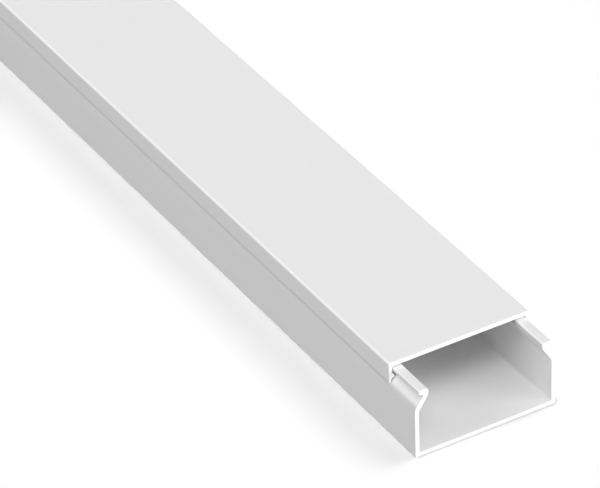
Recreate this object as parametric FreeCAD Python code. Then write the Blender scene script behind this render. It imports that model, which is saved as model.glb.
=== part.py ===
import FreeCAD
import Part

import math
import os

# Surface trunking for cables: a base channel with hooked walls, and a lid that clips over the hooks
# and slides along them. Both are extruded in rigid plastic and sawn to length.
# Millimetres. +X runs along the trunking, towards the end where the base shows past the lid.
# +Y is across it and +Z is up. The origin is the middle of the flat underside of the base.

# Overall sizes
LENGTH = 1000.0  # sawn length of the base and of the lid
WIDTH = 40.0  # over the outer faces
HEIGHT = 20.7  # from the underside of the base to the top of the lid
LID_SETBACK = 11.5  # how far the lid lies back from the near end of the base

# Base channel
FLOOR_THICKNESS = 1.05
SIDE_WALL = 1.15
LIP_THICKNESS = 1.05  # height of the hook's lip at its tip
LIP_FALL = 0.6  # how much lower the lip's underside lies where it meets the leaning wall
HOOK_ROOT = 1.15  # leaning wall, measured across, where it meets the hook
BEND_DROP = 0.85  # how much lower the side wall starts to lean on its inner face
FOOT_RADIUS = 0.3
FLOOR_CORNER_RADIUS = 0.5
OUTER_BEND_RADIUS = 2.5
INNER_BEND_RADIUS = 1.6
NOTCH_RADIUS = 0.5  # under the lip, where it meets the leaning wall
LIP_LOWER_RADIUS = 0.15
LIP_UPPER_RADIUS = 0.3
HOOK_INNER_RADIUS = 0.6
HOOK_ROOT_RADIUS = 1.0

# Lid
LID_PLATE = 1.1
SKIRT_WALL = 1.0
SKIRT_DEPTH = 5.7  # from the top of the lid to the skirt's lower edge
BARB_RISE = 1.55  # from the skirt's lower edge up to the nose of the barb
BARB_REACH = 0.75  # how far the nose stands in from the skirt's inner face
BARB_FLANK = 1.2  # height of the slope above the nose, which slips over the lip
BARB_UNDERSIDE = 0.5  # height of the slope below the nose
LOWER_SKIRT_WALL = 0.8  # skirt just below the barb
LID_EDGE_RADIUS = 0.45
LID_INNER_RADIUS = 0.5
FLANK_RADIUS = 0.9
NOSE_RADIUS = 0.15
UNDERCUT_RADIUS = 0.7
TOE_RADIUS = 0.1

# How the two pieces fit
LID_PLAY = 0.4  # between the hooks' flat tops and the lid
SIDE_PLAY = 0.15  # between the lid's skirt or barb and the base, measured across
SEAM_HEIGHT = 0.8  # how far below the skirt's lower edge the base's outer face starts to lean

# A rounding takes at most this share of the straight edge on either side of its corner.
EDGE_SHARE = 0.48

# Levels shared by both sections, from the underside of the base
lid_underside = HEIGHT - LID_PLATE
hook_top = lid_underside - LID_PLAY
lip_underside = hook_top - LIP_THICKNESS
notch_level = lip_underside - LIP_FALL
skirt_edge = HEIGHT - SKIRT_DEPTH
nose_level = skirt_edge + BARB_RISE
bend_level = skirt_edge - SEAM_HEIGHT

# Depths in from the outer face of the trunking, shared by both sections
lip_depth = SKIRT_WALL + SIDE_PLAY
nose_depth = SKIRT_WALL + BARB_REACH
# The side wall leans in just enough to pass the nose of the barb with the side play.
lean = (nose_depth + SIDE_PLAY) / (nose_level - bend_level)


def wall_depth(level):
    """Depth of the leaning wall's outer face at a level, in from the trunking's outer face."""
    return lean * (level - bend_level)


def tangent_arc(before, corner, after, radius):
    """Start, middle and end of the arc that rounds a corner, or None where it stays sharp."""
    arm_in = before.sub(corner)
    arm_out = after.sub(corner)
    half_angle = arm_in.getAngle(arm_out) / 2
    longest_tangent = EDGE_SHARE * min(arm_in.Length, arm_out.Length)
    tangent = min(radius / math.tan(half_angle), longest_tangent)
    if tangent <= 0:
        return None
    reach_in = FreeCAD.Vector(arm_in).normalize()
    reach_out = FreeCAD.Vector(arm_out).normalize()
    bisector = reach_in.add(reach_out).normalize()
    true_radius = tangent * math.tan(half_angle)
    middle_distance = true_radius / math.sin(half_angle) - true_radius
    start = corner.add(reach_in.multiply(tangent))
    middle = corner.add(bisector.multiply(middle_distance))
    end = corner.add(reach_out.multiply(tangent))
    return start, middle, end


def rounded_section(corners, x):
    """A face across the trunking at x, bounded by (y, z, radius) corners with tangent roundings."""
    points = [FreeCAD.Vector(x, y, z) for y, z, _ in corners]
    edges = []
    arcs = []
    for index, (_, _, radius) in enumerate(corners):
        before = points[index - 1]
        after = points[(index + 1) % len(points)]
        arcs.append(tangent_arc(before, points[index], after, radius))
    for index, arc in enumerate(arcs):
        following = arcs[(index + 1) % len(arcs)]
        leave = arc[2] if arc else points[index]
        arrive = following[0] if following else points[(index + 1) % len(points)]
        if arc:
            edges.append(Part.Arc(*arc).toShape())
        edges.append(Part.LineSegment(leave, arrive).toShape())
    return Part.Face(Part.Wire(edges))


def both_sides(half):
    """Closed list of corners from those of one side, given as (depth, level, radius)."""
    right = [(WIDTH / 2 - depth, level, radius) for depth, level, radius in half]
    left = [(-y, level, radius) for y, level, radius in reversed(right)]
    return right + left


def extrusion(half, start, end):
    """A length of one section between two places along the trunking."""
    section = rounded_section(both_sides(half), start)
    return section.extrude(FreeCAD.Vector(end - start, 0, 0))


def base_half_section():
    """Floor, side wall, leaning wall and hook on one side, walked from the foot round to the floor."""
    notch_depth = wall_depth(notch_level)
    inner_depth = notch_depth + HOOK_ROOT
    return [
        (0, 0, FOOT_RADIUS),
        (0, bend_level, OUTER_BEND_RADIUS),
        (notch_depth, notch_level, NOTCH_RADIUS),
        (lip_depth, lip_underside, LIP_LOWER_RADIUS),
        (lip_depth, hook_top, LIP_UPPER_RADIUS),
        (inner_depth, hook_top, HOOK_INNER_RADIUS),
        (inner_depth, notch_level, HOOK_ROOT_RADIUS),
        (SIDE_WALL, bend_level - BEND_DROP, INNER_BEND_RADIUS),
        (SIDE_WALL, FLOOR_THICKNESS, FLOOR_CORNER_RADIUS),
    ]


def lid_half_section():
    """Plate, skirt and barb on one side, walked from the top edge round to the plate's underside."""
    toe_depth = wall_depth(skirt_edge) - SIDE_PLAY
    return [
        (0, HEIGHT, LID_EDGE_RADIUS),
        (0, skirt_edge, TOE_RADIUS),
        (toe_depth, skirt_edge, TOE_RADIUS),
        (LOWER_SKIRT_WALL, nose_level - BARB_UNDERSIDE, UNDERCUT_RADIUS),
        (nose_depth, nose_level, NOSE_RADIUS),
        (SKIRT_WALL, nose_level + BARB_FLANK, FLANK_RADIUS),
        (SKIRT_WALL, lid_underside, LID_INNER_RADIUS),
    ]


def base_channel():
    return extrusion(base_half_section(), -LENGTH / 2, LENGTH / 2)


def lid():
    near_end = LENGTH / 2 - LID_SETBACK
    return extrusion(lid_half_section(), near_end - LENGTH, near_end)


def main():
    os.makedirs("parts", exist_ok=True)
    base_channel().exportStep("parts/base_channel.step")
    lid().exportStep("parts/lid.step")


main()
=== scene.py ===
import math

import bmesh
import bpy
from mathutils import Matrix, Vector


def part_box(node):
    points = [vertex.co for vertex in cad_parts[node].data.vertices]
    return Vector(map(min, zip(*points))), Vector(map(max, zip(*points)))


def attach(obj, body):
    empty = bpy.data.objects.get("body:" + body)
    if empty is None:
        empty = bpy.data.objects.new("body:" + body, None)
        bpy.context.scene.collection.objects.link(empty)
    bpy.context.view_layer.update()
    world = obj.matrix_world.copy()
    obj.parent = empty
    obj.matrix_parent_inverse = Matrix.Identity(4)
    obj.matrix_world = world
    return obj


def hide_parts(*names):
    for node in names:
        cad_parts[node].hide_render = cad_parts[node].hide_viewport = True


# Cable trunking: a white rigid PVC channel and the lid that clips over it, extruded and sawn to length.
# Metres, in the frame of the solids: +X along the trunking to its near end, +Y across it, +Z up.

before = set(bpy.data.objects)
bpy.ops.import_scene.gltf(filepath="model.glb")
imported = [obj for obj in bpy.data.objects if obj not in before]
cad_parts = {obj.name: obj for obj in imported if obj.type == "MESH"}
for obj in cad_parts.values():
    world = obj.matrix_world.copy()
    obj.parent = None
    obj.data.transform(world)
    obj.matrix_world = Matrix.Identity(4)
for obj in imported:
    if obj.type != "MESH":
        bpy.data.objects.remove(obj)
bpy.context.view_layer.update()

MM = 0.001

# Camera: a long lens from above the near end, on the side of the left wall
PICTURE_WIDTH = 600  # pixels
LENS_IN_PIXELS = 4163
SENSOR_WIDTH = 36.0  # mm
CAMERA_AZIMUTH = math.radians(60.1)
CAMERA_ELEVATION = math.radians(34.6)
CAMERA_ROLL = math.radians(-1.95)
CAMERA_DISTANCE = 1000 * MM
# The middle of the picture, seen from the middle of the near end's foot
LOOK_LEFT = 44.7 * MM
LOOK_UP = 44.75 * MM

# Shape of the two extrusions
MERGE_DISTANCE = 0.001 * MM
FLAT_ANGLE = math.radians(1)
SMOOTH_ANGLE = math.radians(30)
SAWN_EDGE = 0.06 * MM  # chamfer left where the saw's burr was scraped off

# Rigid PVC, in the hollows and on the crests of the die's lines, and where it is sawn
PVC_IOR = 1.54
HOLLOW_TINT, CREST_TINT = "#ebebeb", "#eeeeee"
HOLLOW_ROUGHNESS, CREST_ROUGHNESS = 0.36, 0.44
# The sawn tints are whiter than the walls' tints, partly as cut PVC is and partly as painted light that
# makes the ends read as lit.
SAWN_LOW_TINT, SAWN_HIGH_TINT = "#fafafa", "#fdfdfd"
SAWN_ROUGHNESS = 0.65
NOISE_LOW, NOISE_HIGH = 0.3, 0.7  # most of a noise texture lies between these

# Lengthwise marks of the extrusion die
DIE_LINE_WIDTH = 0.7 * MM
DIE_LINE_LENGTH = 300 * MM
DIE_LINE_HEIGHT = 0.004 * MM
DIE_LINE_DETAIL = 3.0
# Slow swells of the wall between the die and the cooling bath
SWELL_WIDTH = 9 * MM
SWELL_LENGTH = 60 * MM
SWELL_HEIGHT = 0.02 * MM
SWELL_DETAIL = 1.0
# Marks of a circular saw on the ends. Real ones are 0.1 mm apart. These are coarser, so that they show.
SAW_MARK_SPACING = 0.35 * MM
SAW_MARK_HEIGHT = 0.006 * MM
SAW_MARK_WANDER = 1.5
SAW_MARK_DETAIL = 2.0
SAW_BLADE_RADIUS = 125 * MM
SAW_BLADE_ASIDE = 37.5 * MM  # how far the blade's middle stands to the right of the trunking's
# A wave texture of scale 1 repeats each time its coordinate grows by this much
WAVE_PERIOD = 2 * math.pi / 20

# Places on the channel's hooks, in from the trunking's side
LIP_DEPTH = 1.15 * MM  # to the lip's outer edge
HOOK_DEPTH = 3.86 * MM  # to the hook's inner face
# Shade on the outside of the channel's bends, below the lid's skirts, so that the walls read as flat up
# to the skirts. It is full within its core, and gone at its reach.
SEAM_SHADE = 0.26
SEAM_SHADE_DROP = 0.5 * MM
SEAM_SHADE_CORE = 0.2 * MM
SEAM_SHADE_REACH = 1.15 * MM
# Shade on the hooks' inner faces, so that their upper edges read as sharp
HOOK_SHADE = 0.28
HOOK_SHADE_DROP = 0.9 * MM
HOOK_SHADE_CORE = 0.45 * MM
HOOK_SHADE_REACH = 0.9 * MM
# Painted highlights on the lengthwise edges of the lid and hooks: their colour is drawn whiter than the
# walls', where light would catch them.
EDGE_HIGHLIGHT = 0.45
HIGHLIGHT_FADE = 1.2  # the painted highlight is gone at this many times its radius
LID_EDGE_RADIUS = 0.45 * MM
LIP_EDGE_RADIUS = 0.3 * MM
HOOK_EDGE_RADIUS = 0.35 * MM

# Light levels, where 1 on a white face that it meets square on renders as white
SKY_LEVEL = 0.22
# Soft lamps: name, level, azimuth from +X towards +Y, elevation and spread in degrees, and what each
# leaves unlit. The low ones would draw long shadows on the floor. The floor panel only draws the short
# shadow beside the left wall. The back panel lights the far end.
LAMPS = (
    ("overhead panel", 0.29, -24, 57, 22, None),
    ("left overhead panel", 0.07, -60, 60, 15, None),
    ("left panel", 0.42, -90, 18, 40, "floor"),
    ("front panel", 0.41, -2, 6, 20, "floor"),
    ("corner panel", 0.26, 30, 20, 30, "floor"),
    ("right panel", 0.36, 50, 20, 30, "floor"),
    ("back panel", 0.45, 180, 6, 25, "floor"),
    ("back left panel", 0.07, -149, 33, 25, "floor"),
    ("floor panel", 0.36, 90, 58, 36, "trunking"),
)

FLOOR_SIZE = 8.0
FLOOR_GLOW = 0.17  # part of the floor's white that its shadows can't darken
DULL_FLOOR = "#606060"  # what the walls see of the floor, where the camera sees white
# A thin line of painted shade, drawn into the floor's colour from ambient occlusion, lies where the
# channel's ends and right side meet the floor. The left side has the soft shadow instead, so the line
# sets in over CONTACT_START, from the left foot inwards.
CONTACT_REACH = 2.5 * MM
CONTACT_START = 0.5 * MM


def linear(hex_colour):
    """Linear red, green, blue and alpha of an sRGB hex colour."""
    channels = [int(hex_colour[start:start + 2], 16) / 255 for start in (1, 3, 5)]
    return [c / 12.92 if c <= 0.04045 else ((c + 0.055) / 1.055) ** 2.4 for c in channels] + [1.0]


def add_node(tree, kind, inputs=None, **settings):
    """Adds a node with its settings. Its inputs are values, or the sockets that feed them."""
    node = tree.nodes.new(kind)
    for name, value in settings.items():
        setattr(node, name, value)
    for socket, source in (inputs or {}).items():
        if isinstance(source, bpy.types.NodeSocket):
            tree.links.new(source, node.inputs[socket])
        else:
            node.inputs[socket].default_value = source
    return node


def empty_material(name):
    """A new material with only its output, and that material's tree and output node."""
    material = bpy.data.materials.new(name)
    material.use_nodes = True
    tree = material.node_tree
    tree.nodes.clear()
    return material, tree, add_node(tree, "ShaderNodeOutputMaterial")


def mixed(tree, factor, first, second):
    """The first colour where the factor is 0, and the second where it is 1."""
    inputs = {"Factor": factor, "A": first, "B": second}
    return add_node(tree, "ShaderNodeMix", inputs, data_type="RGBA").outputs["Result"]


def near_line(tree, section, line, core, reach, amount):
    """A strength along a lengthwise line: the amount within its core, and none past its reach."""
    away = add_node(tree, "ShaderNodeVectorMath", {0: section, 1: line}, operation="DISTANCE")
    return add_node(
        tree, "ShaderNodeMapRange",
        {"Value": away.outputs["Value"], "From Min": reach, "From Max": core,
         "To Min": 0.0, "To Max": amount}).outputs["Result"]


def with_painted_light(tree, place, colour):
    """The colour with the painted shades and the painted edge highlights drawn in, alike on both sides.
    """
    parts = add_node(tree, "ShaderNodeSeparateXYZ", {"Vector": place}).outputs
    across = add_node(tree, "ShaderNodeMath", {0: parts["Y"]}, operation="ABSOLUTE").outputs["Value"]
    section = add_node(tree, "ShaderNodeCombineXYZ", {"Y": across, "Z": parts["Z"]}).outputs["Vector"]
    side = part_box("lid")[1].y
    lid_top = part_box("lid")[1].z
    skirt_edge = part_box("lid")[0].z
    hook_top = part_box("base_channel")[1].z
    bend = (0, side, skirt_edge - SEAM_SHADE_DROP)
    hook_face = (0, side - HOOK_DEPTH, hook_top - HOOK_SHADE_DROP)
    shades = (
        (bend, SEAM_SHADE_CORE, SEAM_SHADE_REACH, SEAM_SHADE),
        (hook_face, HOOK_SHADE_CORE, HOOK_SHADE_REACH, HOOK_SHADE))
    edges = (
        ((0, side, lid_top), LID_EDGE_RADIUS),
        ((0, side - LIP_DEPTH, hook_top), LIP_EDGE_RADIUS),
        ((0, side - HOOK_DEPTH, hook_top), HOOK_EDGE_RADIUS))
    # Painted shade below the lid's skirts and on the hooks' inner faces
    for line, core, reach, amount in shades:
        strength = near_line(tree, section, line, core, reach, amount)
        colour = mixed(tree, strength, colour, linear("#000000"))
    # Painted highlights: the colour is mixed towards white along the lengthwise edges
    for line, radius in edges:
        strength = near_line(tree, section, line, radius, HIGHLIGHT_FADE * radius, EDGE_HIGHLIGHT)
        colour = mixed(tree, strength, colour, linear("#ffffff"))
    return colour


def extruded_pvc():
    """Rigid PVC as it leaves the die: opaque white, satin, with faint lengthwise lines that only
    show where light grazes the wall."""
    material, tree, output = empty_material("rigid_pvc_extruded_satin")
    place = add_node(tree, "ShaderNodeTexCoord").outputs["Object"]

    def stretched_noise(length, width, detail):
        scale = (1 / length, 1 / width, 1 / width)
        drawn_out = add_node(tree, "ShaderNodeMapping", {"Vector": place, "Scale": scale})
        settings = {"Vector": drawn_out.outputs["Vector"], "Scale": 1.0, "Detail": detail}
        return add_node(tree, "ShaderNodeTexNoise", settings).outputs["Fac"]

    die_lines = stretched_noise(DIE_LINE_LENGTH, DIE_LINE_WIDTH, DIE_LINE_DETAIL)
    swells = stretched_noise(SWELL_LENGTH, SWELL_WIDTH, SWELL_DETAIL)
    swollen = add_node(
        tree, "ShaderNodeBump", {"Height": swells, "Distance": SWELL_HEIGHT, "Strength": 1.0})
    lined = add_node(
        tree, "ShaderNodeBump",
        {"Height": die_lines, "Distance": DIE_LINE_HEIGHT, "Strength": 1.0,
         "Normal": swollen.outputs["Normal"]})
    tint = mixed(tree, die_lines, linear(HOLLOW_TINT), linear(CREST_TINT))
    satin = add_node(
        tree, "ShaderNodeMapRange",
        {"Value": die_lines, "From Min": NOISE_LOW, "From Max": NOISE_HIGH,
         "To Min": HOLLOW_ROUGHNESS, "To Max": CREST_ROUGHNESS})
    # Its base colour carries painted shade at the bends and hooks, and painted highlights on the
    # lengthwise edges.
    shader = add_node(
        tree, "ShaderNodeBsdfPrincipled",
        {"Base Color": with_painted_light(tree, place, tint), "Roughness": satin.outputs["Result"],
         "IOR": PVC_IOR, "Normal": lined.outputs["Normal"]})
    tree.links.new(shader.outputs["BSDF"], output.inputs["Surface"])
    return material


def sawn_pvc():
    """Rigid PVC where the saw went through: matt, with fine arcs of the blade, and whiter than the
    walls, partly as cut PVC is and partly as painted light on the ends.
    """
    material, tree, output = empty_material("rigid_pvc_sawn_matt")
    place = add_node(tree, "ShaderNodeTexCoord").outputs["Object"]
    blade_centre = (0, SAW_BLADE_ASIDE, SAW_BLADE_RADIUS)
    from_blade = add_node(
        tree, "ShaderNodeVectorMath", {0: place, 1: blade_centre}, operation="SUBTRACT")
    arcs = add_node(
        tree, "ShaderNodeTexWave",
        {"Vector": from_blade.outputs["Vector"], "Scale": WAVE_PERIOD / SAW_MARK_SPACING,
         "Distortion": SAW_MARK_WANDER, "Detail": SAW_MARK_DETAIL},
        wave_type="RINGS", rings_direction="X").outputs["Fac"]
    scored = add_node(
        tree, "ShaderNodeBump", {"Height": arcs, "Distance": SAW_MARK_HEIGHT, "Strength": 1.0})
    shader = add_node(
        tree, "ShaderNodeBsdfPrincipled",
        {"Base Color": mixed(tree, arcs, linear(SAWN_LOW_TINT), linear(SAWN_HIGH_TINT)),
         "Roughness": SAWN_ROUGHNESS, "IOR": PVC_IOR, "Normal": scored.outputs["Normal"]})
    tree.links.new(shader.outputs["BSDF"], output.inputs["Surface"])
    return material


def at_an_end(face):
    """Whether a face belongs to an end: to the saw's cut, or to the chamfer round it."""
    return abs(face.normal.x) > 0.5


def break_sawn_edges(shape):
    """Chamfers the outline of each end face."""
    for end in [face for face in shape.faces if at_an_end(face)]:
        inwards = -math.copysign(SAWN_EDGE, end.normal.x)
        ring = bmesh.ops.inset_region(shape, faces=[end], thickness=SAWN_EDGE, use_even_offset=True)
        outline = {vert for face in ring["faces"] for vert in face.verts} - set(end.verts)
        bmesh.ops.translate(shape, verts=list(outline), vec=(inwards, 0, 0))


def extrusion(name, node, body, finishes):
    """The piece that stands for one solid: its section in one skin, with sawn ends."""
    shape = bmesh.new()
    shape.from_mesh(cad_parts[node].data)
    bmesh.ops.remove_doubles(shape, verts=shape.verts, dist=MERGE_DISTANCE)
    bmesh.ops.dissolve_limit(shape, angle_limit=FLAT_ANGLE, verts=shape.verts, edges=shape.edges)
    break_sawn_edges(shape)
    for face in shape.faces:
        face.smooth = True
        face.material_index = 1 if at_an_end(face) else 0
    mesh = bpy.data.meshes.new(name)
    shape.to_mesh(mesh)
    shape.free()
    mesh.set_sharp_from_angle(angle=SMOOTH_ANGLE)
    for finish in finishes:
        mesh.materials.append(finish)
    piece = bpy.data.objects.new(name, mesh)
    bpy.context.scene.collection.objects.link(piece)
    flat_shading = piece.modifiers.new("flat walls, round edges", "WEIGHTED_NORMAL")
    flat_shading.keep_sharp = True
    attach(piece, body)
    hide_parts(node)
    return piece


def build_floor():
    """A white floor that keeps the trunking's soft shadow, and throws little light back on its walls."""
    material, tree, output = empty_material("studio_floor")
    openness = add_node(tree, "ShaderNodeAmbientOcclusion", {"Distance": CONTACT_REACH}).outputs["AO"]
    place = add_node(tree, "ShaderNodeTexCoord").outputs["Object"]
    across = add_node(tree, "ShaderNodeSeparateXYZ", {"Vector": place}).outputs["Y"]
    left_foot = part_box("base_channel")[0].y
    beside = add_node(
        tree, "ShaderNodeMapRange",
        {"Value": across, "From Min": left_foot, "From Max": left_foot + CONTACT_START,
         "To Min": 0.0, "To Max": 1.0}).outputs["Result"]
    # Painted shade: the floor's colour is darkened by ambient occlusion near the channel, but not beside
    # its left foot
    painted_contact_shade = mixed(tree, openness, linear("#000000"), linear("#ffffff"))
    white = mixed(tree, beside, linear("#ffffff"), painted_contact_shade)
    lit = add_node(tree, "ShaderNodeBsdfDiffuse", {"Color": white})
    glow = add_node(tree, "ShaderNodeEmission", {"Color": white, "Strength": FLOOR_GLOW})
    bright = add_node(
        tree, "ShaderNodeAddShader", {0: lit.outputs["BSDF"], 1: glow.outputs["Emission"]})
    dull = add_node(tree, "ShaderNodeBsdfDiffuse", {"Color": linear(DULL_FLOOR)})
    rays = add_node(tree, "ShaderNodeLightPath")
    shown = add_node(
        tree, "ShaderNodeMixShader",
        {0: rays.outputs["Is Camera Ray"], 1: dull.outputs["BSDF"], 2: bright.outputs["Shader"]})
    tree.links.new(shown.outputs["Shader"], output.inputs["Surface"])
    shape = bmesh.new()
    bmesh.ops.create_grid(shape, x_segments=1, y_segments=1, size=FLOOR_SIZE / 2)
    mesh = bpy.data.meshes.new("studio_floor")
    shape.to_mesh(mesh)
    shape.free()
    mesh.materials.append(material)
    floor = bpy.data.objects.new("studio_floor", mesh)
    bpy.context.scene.collection.objects.link(floor)
    return floor


def build_sky():
    """An even sky that lights the trunking, and shows white to the camera."""
    world = bpy.data.worlds.new("studio")
    bpy.context.scene.world = world
    world.use_nodes = True
    tree = world.node_tree
    tree.nodes.clear()
    white = linear("#ffffff")
    lighting = add_node(tree, "ShaderNodeBackground", {"Color": white, "Strength": SKY_LEVEL})
    backdrop = add_node(tree, "ShaderNodeBackground", {"Color": white, "Strength": 1.0})
    rays = add_node(tree, "ShaderNodeLightPath")
    shown = add_node(
        tree, "ShaderNodeMixShader",
        {0: rays.outputs["Is Camera Ray"], 1: lighting.outputs["Background"],
         2: backdrop.outputs["Background"]})
    output = add_node(tree, "ShaderNodeOutputWorld")
    tree.links.new(shown.outputs["Shader"], output.inputs["Surface"])


def add_lamp(name, level, azimuth, elevation, spread, unlit):
    """Adds a distant soft lamp, whose light leaves out the objects in unlit."""
    lamp = bpy.data.lights.new(name, "SUN")
    lamp.energy = level * math.pi
    lamp.angle = math.radians(spread)
    holder = bpy.data.objects.new(name, lamp)
    tilt = Matrix.Rotation(math.radians(90 - elevation), 4, "Y")
    holder.matrix_world = Matrix.Rotation(math.radians(azimuth), 4, "Z") @ tilt
    bpy.context.scene.collection.objects.link(holder)
    if unlit:
        receivers = bpy.data.collections.new(name)
        for thing in unlit:
            receivers.objects.link(thing)
        for member in receivers.collection_objects:
            member.light_linking.link_state = "EXCLUDE"
        holder.light_linking.receiver_collection = receivers


def build_camera():
    """A camera that looks down at the near end, with the values at the top."""
    back = Vector((
        math.sin(CAMERA_AZIMUTH) * math.cos(CAMERA_ELEVATION),
        -math.cos(CAMERA_AZIMUTH) * math.cos(CAMERA_ELEVATION),
        math.sin(CAMERA_ELEVATION)))
    level_right = Vector((math.cos(CAMERA_AZIMUTH), math.sin(CAMERA_AZIMUTH), 0))
    turned = Matrix.Rotation(CAMERA_ROLL, 3, back)
    right = turned @ level_right
    up = turned @ back.cross(level_right)
    near_foot = Vector((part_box("base_channel")[1].x, 0, 0))
    place = near_foot - LOOK_LEFT * right + LOOK_UP * up + CAMERA_DISTANCE * back
    camera = bpy.data.cameras.new("camera")
    camera.sensor_width = SENSOR_WIDTH
    camera.lens = LENS_IN_PIXELS / PICTURE_WIDTH * SENSOR_WIDTH
    holder = bpy.data.objects.new("camera", camera)
    turn = Matrix((right, up, back)).transposed()
    holder.matrix_world = Matrix.Translation(place) @ turn.to_4x4()
    bpy.context.scene.collection.objects.link(holder)
    bpy.context.scene.camera = holder


build_camera()
finishes = (extruded_pvc(), sawn_pvc())
trunking = [
    extrusion("channel_extrusion", "base_channel", "base", finishes),
    extrusion("lid_extrusion", "lid", "cover", finishes),
]
groups = {None: [], "floor": [build_floor()], "trunking": trunking}
build_sky()
for name, level, azimuth, elevation, spread, unlit in LAMPS:
    add_lamp(name, level, azimuth, elevation, spread, groups[unlit])
bpy.context.scene.view_settings.view_transform = "Standard"

bpy.context.view_layer.update()
